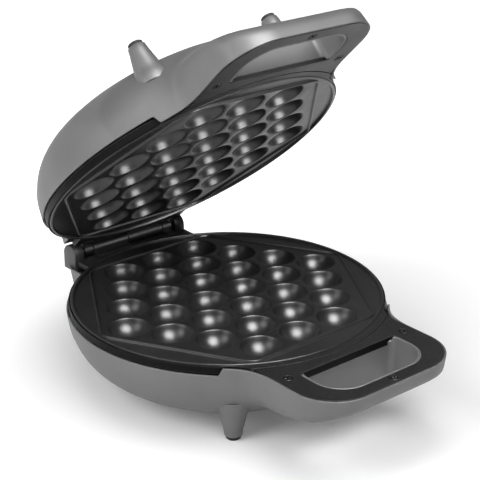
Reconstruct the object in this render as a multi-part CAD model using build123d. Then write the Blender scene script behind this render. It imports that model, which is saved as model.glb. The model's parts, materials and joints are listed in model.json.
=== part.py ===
from build123d import *
import math
import os

os.makedirs("parts", exist_ok=True)

# All lengths are in millimetres. Both halves are drawn closed, round the centre of the plates: X runs along
# the hinge, -Y is the handle side and z = 0 is the top of the lower plate's rim. Then the upper half opens.

# Bubble pits
pit_counts = (3, 4, 5, 6, 5, 4, 3)
pit_pitch = 28.0
pit_row_pitch = 21.2
pit_rim_radius = 11.7
pit_depth = 9.0
pit_sides = 12
pit_rings = 3

# Baking plates
plate_radius = 91.0
plate_edge_height = 3.2
plate_edge_round = 0.9
plate_gap = 1.0
pool_depth = 1.2
pool_margin = 3.2
rib_width = 1.8
rib_corner_radius = 9.0
segment_depth = 1.4
plate_rim_width = 2.2
pit_floor = 2.3
pool_hex_radius = plate_radius - pool_margin
pool_inradius = pool_hex_radius * math.cos(math.pi / 6)
block_depth = pool_depth + pit_depth + pit_floor

# Frames, round the plates
frame_top_drop = 0.5
frame_thickness = 2.0
frame_inset = 1.2
flange_margin = 1.0
flange_drop = 3.4
flange_thickness = 1.6
skirt_step = 4.8
skirt_wall = 2.0
seat_thickness = 1.6
groove_offset = 3.6
groove_width = 0.9
groove_depth = 0.7
seat_clearance = 0.15
block_clearance = 0.5
side_clearance = 1.8
flange_radius = plate_radius + flange_margin
flange_bottom = flange_drop + flange_thickness
frame_bottom = frame_top_drop + frame_thickness
skirt_radius = flange_radius - skirt_step
skirt_inner = skirt_radius - skirt_wall
plate_block_radius = skirt_inner - side_clearance
seat_depth = block_depth + block_clearance
seat_bottom = seat_depth + seat_thickness
groove_radius = flange_radius + groove_offset

# Shells, round the frames
wall = 2.4
shell_depth = 43.0
shell_waist_draw = 0.8
shell_waist_depth = 10.0
bulge_draw = 9.7
bulge_rise = 12.0
floor_draw = 39.2
bowl_bands = 4
cavity_bands = 2
side_rim_drop = 6.0
front_rim_drop = 0.7
front_wedge_angle = 41.5
rear_wedge_angle = 36.0
shell_draft = 7.0
shell_radius = flange_radius + frame_inset
shell_waist_radius = shell_radius - shell_waist_draw
shell_floor_radius = shell_radius - floor_draw
bowl_bulge_radius = shell_radius - bulge_draw
bowl_bulge_depth = shell_depth - bulge_rise

# Handle
handle_half_width = 50.0
handle_corner_radius = 26.0
handle_waist_radius = 20.0
handle_tip_depth = 10.0
handle_root_rise = 14.0
handle_root_round = 60.0
handle_flank_depth = 10.0
handle_flank_flare = 12.0
handle_belly_draw = 28.0
handle_belly_round = 30.0
grip_offset = 8.3
grip_length = 28.5
grip_side = 16.5
grip_front = 11.0
grip_inner_corner = 4.0
grip_outer_corner = 16.0
grip_wall = 1.8
lip_clearance = 1.0
grip_inner = shell_radius + grip_offset
grip_outer = grip_inner + grip_length
grip_half_width = handle_half_width - grip_side
handle_front = grip_outer + grip_front
handle_root = shell_radius + 2.8
handle_root_depth = shell_depth - handle_root_rise
handle_spread = handle_half_width + handle_flank_flare
handle_belly_width = handle_half_width - handle_belly_draw

# Hinge
hinge_offset = 8.8
hinge_height = 0.5
hinge_open = 43.8
barrel_radius = 4.2
barrel_reach = 33.0
short_barrel = 6.0
barrel_gap = 0.5
web_overlap = 3.2
riser_offset = 0.6
riser_top = 1.0
cradle_clearance = 0.3
pin_radius = 2.0
pin_clearance = 0.05
ear_gap = 3.5
ear_width = 8.0
ear_radius = 7.5
ear_clearance = 1.1
tail_side = 1.5
tail_overhang = 9.0
tail_rise = 19.0
tail_draft = 8.0
tail_corner = 8.0
lid_tail_gap = 4.5
hinge_back = shell_radius + hinge_offset
hinge_web_start = skirt_radius - web_overlap
riser_start = flange_radius + riser_offset
ear_inner = barrel_reach + ear_gap
tail_half_width = ear_inner + ear_width + tail_side
tail_back = hinge_back + tail_overhang
tail_depth = shell_depth - tail_rise
upper_tail_back = hinge_back - lid_tail_gap

# Feet
foot_drop = 8.0
foot_inset_x = 46.7
foot_inset_y = 31.2
foot_tip_radius = 5.0
foot_root_radius = 9.0
foot_root_rise = 13.0
pad_radius = 4.2
pad_thickness = 2.0
pad_recess = 1.0
foot_x = shell_radius - foot_inset_x
foot_y = shell_radius - foot_inset_y
foot_tip_depth = shell_depth + foot_drop
foot_root_depth = shell_depth - foot_root_rise

# Heating
tube_radius = 3.2
tube_circle = 49.0
tube_open_angle = 40.0
tube_leg = 11.0
pin_stub_radius = 1.6
pin_stub = 5.0
clamp_lug = 3.0
clamp_width = 8.0
clamp_thickness = 1.2
clamp_gap = 2.0
seat_reach = 13.0
reflector_thickness = 0.8
reflector_flange_width = 11.0
reflector_slope = 8.0
reflector_gap = 7.1
thermostat_radius = 8.0
thermostat_height = 7.0
fuse_radius = 2.4
fuse_length = 16.0
fuse_y = 24.0
lead_radius = 1.1
lead_rise = 7.0
seat_inner_radius = tube_circle + seat_reach
reflector_pan_radius = seat_inner_radius - 0.5
reflector_flange = seat_inner_radius + reflector_flange_width
reflector_depth = block_depth + 2 * tube_radius + reflector_gap
lead_depth = shell_depth - lead_rise
tube_level = -block_depth - tube_radius * math.cos(math.pi / 8)
stub_end = tube_level - tube_leg - pin_stub

# Screws
trim_screw_inset = 7.7
trim_screw_back = 0.2
trim_screw_ahead = 5.5
trim_screw_head = 2.6
trim_screw_shank = 1.3
trim_screw_length = 6.0
trim_screw_sink = 1.2
shell_post_width = 4.2
shell_screw_reach = 7.0
shell_screw_head = 2.8
shell_screw_shank = 1.5
shell_post_offset = 3.963
shell_post_inset = 3.2
plate_screw_head = 3.0
plate_screw_shank = 1.6
plate_screw_depth = 5.0
plate_pad_margin = 1.5
screw_head_height = 2.0
screw_clearance = 0.1
trim_screw_x = handle_half_width - trim_screw_inset
trim_screw_y = grip_inner - trim_screw_back
trim_screw_front = grip_outer + trim_screw_ahead
shell_post_y = pool_inradius + shell_post_offset
shell_post_circle = skirt_inner - shell_post_inset
shell_post_x = math.sqrt(shell_post_circle ** 2 - shell_post_y ** 2)
plate_screw_circle = seat_inner_radius + reflector_flange_width / 2

# Mains entry
gland_radius = 5.5
gland_bore = 3.6
gland_lip = 7.5
gland_lip_thickness = 1.8
gland_height = tail_depth / 2
terminal_size = (30.0, 14.0, 9.0)
terminal_y = 36.0

LOW = (Align.CENTER, Align.CENTER, Align.MIN)
HIGH = (Align.CENTER, Align.CENTER, Align.MAX)
BACK_UP = (Align.CENTER, Align.MIN, Align.MIN)
pin_axis = Axis((0, hinge_back, hinge_height), (-1, 0, 0))


def ring_points(radius, angles):
    return [(radius * math.cos(math.radians(a)), radius * math.sin(math.radians(a))) for a in angles]


def pit_centres():
    places = []
    for row, count in enumerate(pit_counts):
        y = ((len(pit_counts) - 1) / 2 - row) * pit_row_pitch
        for k in range(count):
            places.append(((k - (count - 1) / 2) * pit_pitch, y))
    return places


def prism(sketch, top, bottom, taper=0.0):
    # Solid between two heights, drawn at the top one and narrowing downwards.
    return Pos(0, 0, top) * extrude(sketch, amount=top - bottom, dir=(0, 0, -1), taper=taper)


# Outlines seen from above

def waist_outline(inset=0.0):
    handle = Pos(0, -(handle_front + 40) / 2) * Rectangle(2 * handle_half_width, handle_front - 40)
    corners = handle.vertices().group_by(Axis.Y)[0]
    handle = fillet(corners, handle_corner_radius)
    tail = Polygon(
        (-72, 50), (72, 50), (tail_half_width, hinge_back - 4), (tail_half_width, tail_back),
        (-tail_half_width, tail_back), (-tail_half_width, hinge_back - 4), align=None)
    tail = fillet(tail.vertices().group_by(Axis.Y)[-1], tail_corner)
    outline = Circle(shell_radius) + handle + tail
    meeting = math.sqrt(shell_radius ** 2 - handle_half_width ** 2)
    points = [(side * handle_half_width, -meeting, 0) for side in (1, -1)]
    waist = [outline.vertices().sort_by_distance(point)[0] for point in points]
    outline = fillet(waist, handle_waist_radius)
    return offset(outline, -inset) if inset else outline


def grip_outline(grow=0.0):
    middle = -(grip_inner + grip_outer) / 2
    hole = Pos(0, middle) * Rectangle(2 * grip_half_width, grip_outer - grip_inner)
    hole = fillet(hole.vertices().group_by(Axis.Y)[0], grip_outer_corner)
    hole = fillet(hole.vertices().group_by(Axis.Y)[-1], grip_inner_corner)
    return offset(hole, grow) if grow else hole


def wedge(angle, facing):
    reach = 2.5 * shell_radius
    half = reach * math.tan(math.radians(angle))
    return make_face(Polyline((0, 0), (half, facing * reach), (-half, facing * reach), close=True))


# Shells

def bowl(inset, bands, top=0.0):
    # The rounded side is an arc, cut into cone bands to keep its facets few.
    waist = (shell_waist_radius, -shell_waist_depth)
    arc = ThreePointArc(waist, (bowl_bulge_radius, -bowl_bulge_depth), (shell_floor_radius, -shell_depth))
    rim = (shell_radius - inset, top)
    turn = [(p.X, p.Y) for p in (arc @ (k / bands) for k in range(bands + 1))]
    if inset:
        shrink = (shell_waist_radius - inset) / shell_waist_radius
        turn = [(r * shrink, z * (shell_depth - inset) / shell_depth) for r, z in turn]
    profile = make_face(Polyline((0, top), rim, *turn, (0, turn[-1][1]), close=True))
    return revolve(Plane.XZ * profile, Axis.Z)


def handle_sides(depth_lift, top):
    # Seen from the side: a shallow tip that deepens towards the bowl.
    front = handle_front + 5
    floor = -shell_depth + depth_lift
    side = Polyline((-front, -handle_tip_depth + depth_lift), (-front, top), (-50, top), (-50, floor + 3.0),
                    (-70, floor + 4.5), (-handle_root, -handle_root_depth + depth_lift),
                    (-handle_front, -handle_tip_depth + depth_lift), close=True)
    side = make_face(side)
    bend = side.vertices().sort_by_distance((-handle_root, -handle_root_depth + depth_lift, 0))[0]
    side = fillet(bend, handle_root_round)
    return extrude(Plane.YZ * side, amount=90, both=True)


def handle_body(top=0.0):
    outline = prism(waist_outline(), top, -shell_depth, shell_draft)
    across = make_face(Polyline(
        (-handle_spread, top), (handle_spread, top), (handle_spread, -handle_flank_depth),
        (handle_belly_width, -shell_depth), (-handle_belly_width, -shell_depth),
        (-handle_spread, -handle_flank_depth), close=True))
    across = fillet(across.vertices().group_by(Axis.Y)[0], handle_belly_round)
    across = extrude(Plane.XZ * across, amount=200, both=True)
    return outline & handle_sides(0.0, top) & across


def handle_cavity(top):
    half = handle_half_width - wall - 1.2
    front = handle_front - wall - 0.6
    corner = 0.62 * handle_corner_radius
    plan = make_face(Polyline((half, -50), (half, -front + corner), (half - corner, -front),
                              (corner - half, -front), (-half, -front + corner), (-half, -50), close=True))
    return prism(plan, top, -shell_depth, shell_draft) & handle_sides(wall, top)


def tail_body(top=0.0):
    outline = prism(waist_outline(), top, -tail_depth, tail_draft)
    return outline & (Pos(0, 110, 0) * Box(2 * 72, 100, 2 * shell_depth + 10))


def tail_cavity(top):
    half = tail_half_width - wall
    plan = make_face(Polyline((-half, 70), (half, 70), (half - tail_corner / 2, tail_back - wall),
                              (tail_corner / 2 - half, tail_back - wall), close=True))
    return prism(plan, top, -tail_depth + wall, tail_draft)


def shell_blank():
    outer = bowl(0.0, bowl_bands) + handle_body() + tail_body()
    inner = bowl(wall, cavity_bands, 2.0) + handle_cavity(2.0) + tail_cavity(2.0)
    return outer, inner


def rim_cutters():
    # The rim is lowered at both sides, and rises to the parting line at the handle and at the hinge.
    raised = wedge(front_wedge_angle, -1) + wedge(rear_wedge_angle, 1)
    sides = Circle(3 * shell_radius) - raised
    side_cut = prism(sides, 5.0, -side_rim_drop)
    front_cut = prism(Circle(3 * shell_radius), 5.0, -front_rim_drop)
    return [side_cut, front_cut]


def frame_seat_cutters():
    step = prism(waist_outline(frame_inset - seat_clearance), 5.0, -frame_bottom - seat_clearance)
    ring = prism(Circle(flange_radius + seat_clearance), 5.0, -flange_bottom - seat_clearance)
    return [step, ring]


def grip_tube(outer):
    tube = prism(grip_outline(grip_wall), -frame_bottom - seat_clearance, -shell_depth) & outer
    lip_side = Pos(0, -grip_inner - lip_clearance - 50) * Rectangle(200, 100)
    lip = prism(grip_outline(grip_wall) & lip_side, -frame_top_drop, -frame_bottom - lip_clearance)
    return tube + lip


def shell_posts():
    return [(x, shell_post_y) for x in (shell_post_x, -shell_post_x)]


def trim_screw_places():
    return [(trim_screw_x, -trim_screw_y), (-trim_screw_x, -trim_screw_y), (0, -trim_screw_front)]


def plate_screw_places():
    return ring_points(plate_screw_circle, (30, 150, 270))


def feet_places():
    return [(x, y) for x in (foot_x, -foot_x) for y in (foot_y, -foot_y)]


def foot():
    height = foot_tip_depth - foot_root_depth
    return Cone(foot_tip_radius, foot_root_radius, height, align=LOW)


def shell_half():
    outer, inner = shell_blank()
    shell = outer - inner
    shell += grip_tube(outer)
    posts = [Pos(x, y, -seat_bottom) * Cylinder(shell_post_width, shell_depth, align=HIGH)
             for x, y in shell_posts()]
    seats = [Pos(x, y, -frame_bottom - seat_clearance) * Cylinder(trim_screw_head, shell_depth, align=HIGH)
             for x, y in trim_screw_places()]
    shell += [post & outer for post in posts + seats]
    shell += [Pos(x, y, -foot_tip_depth) * foot() for x, y in feet_places()]
    shell -= prism(grip_outline(), 5.0, -shell_depth - 5.0)
    for cutter in rim_cutters() + frame_seat_cutters():
        shell -= cutter
    cradle_floor = flange_bottom + cradle_clearance
    cradle = Box(2 * ear_inner, 100, cradle_floor + 5, align=BACK_UP)
    shell -= Pos(0, hinge_web_start, -cradle_floor) * cradle
    for x, y in shell_posts():
        shell -= Pos(x, y, -seat_bottom) * Cylinder(shell_screw_shank + 0.05, 2 * shell_screw_reach)
    for x, y in trim_screw_places():
        shell -= Pos(x, y, 0) * Cylinder(trim_screw_shank + 0.05, 2 * trim_screw_length + 4)
    for x, y in feet_places():
        shell -= Pos(x, y, -foot_tip_depth) * Cylinder(pad_radius + 0.05, pad_recess, align=LOW)
    return shell


def hinge_cylinder(radius, length, x=0.0):
    return Pos(x, hinge_back, hinge_height) * Rot(0, 90, 0) * Cylinder(radius, length)


def lower_shell(half):
    # Cheeks stand up round the pin on both sides of the barrels.
    shell = half
    for side in (1, -1):
        x = side * (ear_inner + ear_width / 2)
        cheek = hinge_cylinder(ear_radius, ear_width, x)
        foot_block = Pos(x, hinge_back, hinge_height) * Box(ear_width, 2 * ear_radius, 8,
                                                             align=(Align.CENTER, Align.CENTER, Align.MAX))
        shell += cheek + foot_block
    shell -= hinge_cylinder(pin_radius + pin_clearance, 2 * (ear_inner + 0.75 * ear_width))
    shell -= gland_seat() * Cylinder(gland_radius, 3 * wall)
    return shell


def upper_shell(half):
    # The tail stops short of the pin, so that it swings clear of the lower one.
    shell = half
    shell -= Pos(0, upper_tail_back, 0) * Box(200, 100, 200, align=(Align.CENTER, Align.MIN, Align.CENTER))
    shell -= mirrored(hinge_cylinder(ear_radius + ear_clearance, 200))
    return shell


def mirrored(shape):
    return mirror(shape, about=Plane.XY.offset(plate_gap / 2))


# Baking plates

def hexagon(inradius, corner=0.0):
    shape = RegularPolygon(inradius / math.cos(math.pi / 6), 6)
    return fillet(shape.vertices(), corner) if corner else shape


def pit():
    # A spherical cup in flat facets: rings of points at even steps of the sphere's angle.
    sphere = (pit_rim_radius ** 2 + pit_depth ** 2) / (2 * pit_depth)
    rim_angle = math.acos((sphere - pit_depth) / sphere)
    rings = [(pit_rim_radius, pool_depth + 1.0)]
    for k in range(pit_rings):
        angle = rim_angle * (1 - k / pit_rings)
        rings.append((sphere * math.sin(angle), sphere - sphere * math.cos(angle) - pit_depth))
    turn = 2 * math.pi / pit_sides
    points = [[Vector(r * math.cos(turn * k), r * math.sin(turn * k), z) for k in range(pit_sides)]
              for r, z in rings]
    faces = [Face(Wire.make_polygon(points[0])), Face(Wire.make_polygon(points[-1]))]
    for above, below in zip(points[:-1], points[1:]):
        for k in range(pit_sides):
            after = (k + 1) % pit_sides
            faces.append(Face(Wire.make_polygon([above[k], above[after], below[after], below[k]])))
    return Solid(Shell(faces))


def plate_half():
    plate = Cylinder(plate_radius, plate_edge_height, align=HIGH)
    plate = chamfer(plate.edges().filter_by(GeomType.CIRCLE).group_by(Axis.Z)[-1], plate_edge_round)
    block = hexagon(pool_inradius + rib_width / 2) & Circle(plate_block_radius)
    plate += prism(block, -plate_edge_height + 1.0, -block_depth)
    pads = plate_screw_places()
    pad = Cylinder(plate_screw_head + plate_pad_margin, seat_depth - block_depth + 1.0, align=HIGH)
    plate += [Pos(x, y, -block_depth + 1.0) * pad for x, y in pads]
    plate -= prism(hexagon(pool_inradius, rib_corner_radius), 1.0, -pool_depth)
    border = Circle(plate_radius - plate_rim_width) - hexagon(pool_inradius + rib_width, rib_corner_radius)
    plate -= prism(border, 1.0, -segment_depth)
    cup = pit()
    plate = plate - [Pos(x, y, -pool_depth) * cup for x, y in pit_centres()]
    for x, y in pads:
        plate -= Pos(x, y, -seat_depth) * Cylinder(plate_screw_shank, plate_screw_depth, align=LOW)
    return plate


# Frames

def frame_half():
    face = prism(waist_outline(frame_inset), -frame_top_drop, -frame_bottom)
    face -= prism(Circle(flange_radius - 0.5), 5.0, -flange_bottom)
    sector = wedge(front_wedge_angle, -1)
    face = face & prism(sector, 5.0, -shell_depth)
    ring = prism(Circle(flange_radius) - Circle(skirt_inner), -flange_drop, -flange_bottom)
    collar = prism((Circle(flange_radius) - Circle(plate_radius + seat_clearance)) & sector,
                   -frame_top_drop, -flange_drop - 0.5)
    skirt = prism(Circle(skirt_radius) - Circle(skirt_inner), -flange_drop - 0.5, -seat_bottom)
    seat = prism(Circle(skirt_radius) - Circle(seat_inner_radius), -seat_depth, -seat_bottom)
    frame = ring + skirt + seat + collar + face
    shelf = grip_outline(grip_wall + seat_clearance) & (Pos(0, -grip_inner - 50) * Rectangle(200, 100))
    frame -= prism(shelf, 5.0, -shell_depth)
    groove = Circle(groove_radius + groove_width) - Circle(groove_radius)
    groove = groove & wedge(front_wedge_angle - 9, -1)
    frame -= prism(groove, 5.0, -frame_top_drop - groove_depth)
    for x, y in trim_screw_places():
        frame -= Pos(x, y, 0) * Cylinder(trim_screw_shank + screw_clearance, 20)
        frame -= Pos(x, y, -frame_top_drop) * Cylinder(trim_screw_head + 0.15, 2 * trim_screw_sink)
    for x, y in shell_posts():
        hole = Cylinder(shell_screw_shank + screw_clearance, 2 * seat_thickness + 2)
        frame -= Pos(x, y, -seat_depth) * hole
    for x, y in plate_screw_places():
        hole = Cylinder(plate_screw_shank + screw_clearance, 2 * seat_thickness + 2)
        frame -= Pos(x, y, -seat_depth) * hole
    return frame


def frame_with_barrels(frame):
    # One long barrel left of the middle and one short one at the right end, as seen from the handle. The
    # upper frame is the same moulding turned over, so its barrels fill the gaps between these.
    long_length = barrel_reach - short_barrel - 1.5 * barrel_gap
    spans = [(-barrel_gap / 2 - long_length / 2, long_length),
             (barrel_reach - short_barrel / 2, short_barrel)]
    for x, length in spans:
        web = Pos(x, hinge_web_start, -flange_bottom) * Box(length, riser_start + 1.0 - hinge_web_start,
                                                            flange_thickness, align=BACK_UP)
        riser = Pos(x, riser_start, -flange_bottom) * Box(length, hinge_back - riser_start,
                                                          flange_bottom - riser_top, align=BACK_UP)
        frame += web + riser + hinge_cylinder(barrel_radius, length, x)
    bore = hinge_cylinder(pin_radius + pin_clearance, 2 * barrel_reach + 4)
    return frame - bore


def lower_frame():
    return frame_with_barrels(frame_half())


def upper_frame(lower):
    return Pos(0, 0, plate_gap) * (Rot(0, 180, 0) * lower)


# Pieces inside and fixings, drawn for the lower half; the upper half's are the same ones mirrored

def reflector():
    rim = -seat_bottom
    thick = reflector_thickness
    pan = reflector_pan_radius
    bottom = pan - reflector_slope
    profile = make_face(Polyline(
        (0, -reflector_depth), (bottom, -reflector_depth), (pan, rim - thick),
        (reflector_flange, rim - thick),
        (reflector_flange, rim), (pan - thick, rim), (bottom - thick, thick - reflector_depth),
        (0, thick - reflector_depth), close=True))
    tray = revolve(Plane.XZ * profile, Axis.Z)
    for x, y in plate_screw_places():
        tray -= Pos(x, y, rim) * Cylinder(plate_screw_shank + screw_clearance, 4 * thick)
    for x, y in heater_ends():
        tray -= Pos(x, y, -reflector_depth) * Cylinder(tube_radius + 0.8, 20 * thick)
    return tray


def heater_ends():
    return ring_points(tube_circle, (270 - tube_open_angle / 2, 270 + tube_open_angle / 2))


def tube_section():
    # An eight-sided section stands for the round tube, to keep its facets few.
    return Rot(0, 0, 22.5) * RegularPolygon(tube_radius, 8)


def heater():
    # An open ring of sheathed tube under the pits, with its two ends turned down through the reflector.
    section = Pos(tube_circle, tube_level) * tube_section()
    ring = revolve(Plane.XZ * section, Axis.Z, 360 - tube_open_angle)
    element = Rot(0, 0, 270 + tube_open_angle / 2) * ring
    for x, y in heater_ends():
        turn = Rot(0, 0, math.degrees(math.atan2(y, x)))
        leg = prism(turn * tube_section(), tube_level + tube_radius - 0.3, tube_level - tube_leg)
        stub = prism(turn * RegularPolygon(pin_stub_radius, 8), tube_level - tube_leg, stub_end)
        element += Pos(x, y, 0) * (leg + stub)
    return element


def heater_clamps():
    straps = []
    for angle in (60, 180, 300):
        low = -block_depth - 2 * tube_radius
        outer_end = tube_circle + tube_radius + clamp_lug
        strap = Pos(tube_circle - tube_radius - clamp_lug, 0, low) * Box(
            outer_end - tube_circle + tube_radius + clamp_lug, clamp_width, clamp_thickness,
            align=(Align.MIN, Align.CENTER, Align.MAX))
        for radius in (tube_circle - tube_radius - clamp_gap, tube_circle + tube_radius + clamp_gap):
            strap += Pos(radius, 0, -block_depth) * Box(clamp_thickness, clamp_width, 2 * tube_radius + 0.5,
                                                        align=(Align.CENTER, Align.CENTER, Align.MAX))
        straps.append(Rot(0, 0, angle) * strap)
    return Compound(straps)


def thermostat():
    body = Pos(0, 0, -block_depth) * Cylinder(thermostat_radius, thermostat_height, align=HIGH)
    tab = Box(1.0, 5.0, 3.5, align=HIGH)
    tabs = [Pos(x, 0, -block_depth - thermostat_height) * tab for x in (-4.0, 4.0)]
    return body + tabs


def thermal_fuse():
    place = Pos(0, fuse_y, -reflector_depth - fuse_radius)
    link = place * Rot(0, 90, 0) * Cylinder(fuse_radius, fuse_length)
    return chamfer(link.edges().filter_by(GeomType.CIRCLE), 0.5)


def terminal_block():
    length, width, height = terminal_size
    block = Pos(0, terminal_y, -shell_depth + wall) * Box(length, width, height, align=LOW)
    block = chamfer(block.edges().group_by(Axis.Z)[-1], 0.8)
    top = -shell_depth + wall + height
    for k in (-1, 0, 1):
        block -= Pos(k * length / 3.4, terminal_y, top) * Cylinder(2.2, 6.0)
    return block


def lead(points):
    path = Polyline(*points)
    start = Plane(path @ 0, z_dir=path % 0)
    return sweep(start * RegularPolygon(lead_radius, 6), path, transition=Transition.RIGHT)


def wiring():
    length, width, height = terminal_size
    entry = terminal_y - width / 2
    leads = []
    for side, (x, y) in zip((-1, 1), heater_ends()):
        end = side * length / 3.4
        leads.append(lead([(x, y, stub_end), (x, y, -lead_depth), (1.4 * x, 0, -lead_depth),
                           (end, entry - 10.0, -lead_depth), (end, entry, -lead_depth)]))
    return Compound(leads)


def gland_seat():
    # The place of the gland on the drafted rear wall, looking inwards.
    y = tail_back - gland_height * math.tan(math.radians(tail_draft))
    return Pos(0, y, -gland_height) * Rot(90 - tail_draft, 0, 0)


def cord_gland():
    # A plain ring where the mains cord would enter; the cord itself is left out.
    seat = gland_seat()
    ring = seat * Cylinder(gland_radius - 0.05, 2 * wall, align=(Align.CENTER, Align.CENTER, Align.CENTER))
    lip = seat * Cylinder(gland_lip, gland_lip_thickness, align=HIGH)
    bore = seat * Cylinder(gland_bore, 8 * wall)
    return ring + lip - bore


def foot_pads():
    pads = []
    for x, y in feet_places():
        pad = Pos(x, y, -foot_tip_depth + pad_recess) * Cylinder(pad_radius, pad_thickness, align=HIGH)
        pads.append(chamfer(pad.edges().group_by(Axis.Z)[0], 0.5))
    return Compound(pads)


def screw(head, shank, length):
    # Drawn head up, with its seat at z = 0.
    top = Cylinder(head, screw_head_height, align=LOW)
    return chamfer(top.edges().group_by(Axis.Z)[-1], 0.4) + Cylinder(shank, length, align=HIGH)


def trim_screws():
    level = -frame_top_drop - trim_screw_sink
    return Compound([Pos(x, y, level) * screw(trim_screw_head, trim_screw_shank, trim_screw_length)
                     for x, y in trim_screw_places()])


def shell_screws():
    return Compound([Pos(x, y, -seat_depth) * screw(shell_screw_head, shell_screw_shank, shell_screw_reach)
                     for x, y in shell_posts()])


def plate_screws():
    level = -seat_bottom - reflector_thickness
    return Compound([Pos(x, y, level) * Rot(180, 0, 0) * screw(plate_screw_head, plate_screw_shank - 0.05,
                                                               plate_screw_depth + 1.0)
                     for x, y in plate_screw_places()])


def hinge_pin():
    pin = hinge_cylinder(pin_radius, 2 * (ear_inner + 0.7 * ear_width))
    return chamfer(pin.edges().filter_by(GeomType.CIRCLE), 0.4)


lower_body = shell_half()
upper_nodes = {"upper_shell": upper_shell(mirrored(lower_body))}
lower_nodes = {"lower_shell": lower_shell(lower_body), "lower_frame": lower_frame()}
upper_nodes["upper_frame"] = upper_frame(lower_nodes["lower_frame"])
twins = {"plate": plate_half(), "heater": heater(), "heater_clamps": heater_clamps(),
         "reflector": reflector(),
         "foot_pads": foot_pads(), "trim_screws": trim_screws(), "shell_screws": shell_screws(),
         "plate_screws": plate_screws()}
for name, shape in twins.items():
    lower_nodes["lower_" + name] = shape
    upper_nodes["upper_" + name] = mirrored(shape)
lower_nodes["hinge_pin"] = hinge_pin()
lower_nodes["thermostat"] = thermostat()
lower_nodes["thermal_fuse"] = thermal_fuse()
lower_nodes["terminal_block"] = terminal_block()
lower_nodes["lower_wiring"] = wiring()
lower_nodes["cord_gland"] = cord_gland()

# The upper half is turned open round the pin, and the part is set down with its pads on z = 0.
for name, shape in upper_nodes.items():
    upper_nodes[name] = shape.rotate(pin_axis, hinge_open)
every = list(lower_nodes.values()) + list(upper_nodes.values())
back = max(shape.bounding_box().max.Y for shape in every)
ground = foot_tip_depth + pad_thickness - pad_recess
middle = (back - handle_front) / 2
for name, shape in {**lower_nodes, **upper_nodes}.items():
    export_step(Pos(0, -middle, ground) * shape, "parts/" + name + ".step")
print("plate centre at y", -middle, "z", ground)
print("hinge pin at y", hinge_back - middle, "z", hinge_height + ground)
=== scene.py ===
# Bubble waffle maker: the looks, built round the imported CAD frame
import json
import math
import bmesh
import bpy
import numpy as np
from mathutils import Matrix, Vector


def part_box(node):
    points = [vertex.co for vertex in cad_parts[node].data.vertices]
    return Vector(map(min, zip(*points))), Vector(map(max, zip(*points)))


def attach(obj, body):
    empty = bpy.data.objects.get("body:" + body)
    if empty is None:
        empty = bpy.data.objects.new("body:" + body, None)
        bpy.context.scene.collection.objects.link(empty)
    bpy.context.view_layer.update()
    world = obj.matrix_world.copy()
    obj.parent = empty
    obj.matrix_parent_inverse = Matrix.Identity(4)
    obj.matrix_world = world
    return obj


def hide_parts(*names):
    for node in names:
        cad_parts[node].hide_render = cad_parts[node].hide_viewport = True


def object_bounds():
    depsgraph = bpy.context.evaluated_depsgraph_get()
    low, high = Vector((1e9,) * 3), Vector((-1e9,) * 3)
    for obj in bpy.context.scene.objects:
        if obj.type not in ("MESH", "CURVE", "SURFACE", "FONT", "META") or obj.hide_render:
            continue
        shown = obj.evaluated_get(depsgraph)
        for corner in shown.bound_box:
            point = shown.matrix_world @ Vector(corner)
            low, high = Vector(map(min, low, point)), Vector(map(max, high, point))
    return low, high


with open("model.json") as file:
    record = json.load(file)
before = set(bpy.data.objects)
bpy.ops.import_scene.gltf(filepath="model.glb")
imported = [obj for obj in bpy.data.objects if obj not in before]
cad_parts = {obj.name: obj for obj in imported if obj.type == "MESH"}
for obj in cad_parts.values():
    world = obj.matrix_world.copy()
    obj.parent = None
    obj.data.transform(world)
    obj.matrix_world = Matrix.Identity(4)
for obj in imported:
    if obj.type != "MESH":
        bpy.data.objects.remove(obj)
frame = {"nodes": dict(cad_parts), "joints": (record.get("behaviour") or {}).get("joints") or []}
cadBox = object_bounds()
nodes = frame["nodes"]
print("frame loaded:", len(nodes), "nodes")

# Places taken from the frame, in metres
plateLow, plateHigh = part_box("lower_plate")
plateCentre = Vector(((plateLow.x + plateHigh.x) / 2, (plateLow.y + plateHigh.y) / 2, plateHigh.z))
lidJoint = frame["joints"][0]
hinge = Vector(lidJoint["pos_m"])
openAngle = math.radians(-lidJoint["range_deg"][0])
plateGap = 0.001
lowerPlace = Matrix.Translation(plateCentre)
closedLid = (Matrix.Translation(plateCentre + Vector((0, 0, plateGap)))
             @ Matrix.Rotation(math.pi, 4, "Y"))
upperPlace = (Matrix.Translation(hinge) @ Matrix.Rotation(openAngle, 4, Vector((-1, 0, 0)))
              @ Matrix.Translation(-hinge) @ closedLid)
halves = (("lower", lowerPlace, "base"), ("upper", upperPlace, "lid"))
millimetre = Matrix.Scale(0.001, 4)


# Shader helpers
def addNode(tree, kind, **settings):
    node = tree.nodes.new(kind)
    for key, value in settings.items():
        setattr(node, key, value)
    return node


def newGroup(name, inputs, outputs):
    group = bpy.data.node_groups.new(name, "ShaderNodeTree")
    for label, kind, value in inputs:
        socket = group.interface.new_socket(name=label, in_out="INPUT", socket_type=kind)
        if value is not None:
            socket.default_value = value
    for label, kind in outputs:
        group.interface.new_socket(name=label, in_out="OUTPUT", socket_type=kind)
    return group, addNode(group, "NodeGroupInput"), addNode(group, "NodeGroupOutput")


def mathNode(tree, operation, first, second, clamp=False):
    node = addNode(tree, "ShaderNodeMath", operation=operation, use_clamp=clamp)
    for socket, value in zip(node.inputs, (first, second)):
        if isinstance(value, (int, float)):
            socket.default_value = value
        else:
            tree.links.new(value, socket)
    return node.outputs[0]


def ranged(tree, value, low, high, toLow=0.0, toHigh=1.0):
    node = addNode(tree, "ShaderNodeMapRange", clamp=True)
    tree.links.new(value, node.inputs["Value"])
    node.inputs["From Min"].default_value = low
    node.inputs["From Max"].default_value = high
    node.inputs["To Min"].default_value = toLow
    node.inputs["To Max"].default_value = toHigh
    return node.outputs["Result"]


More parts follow.
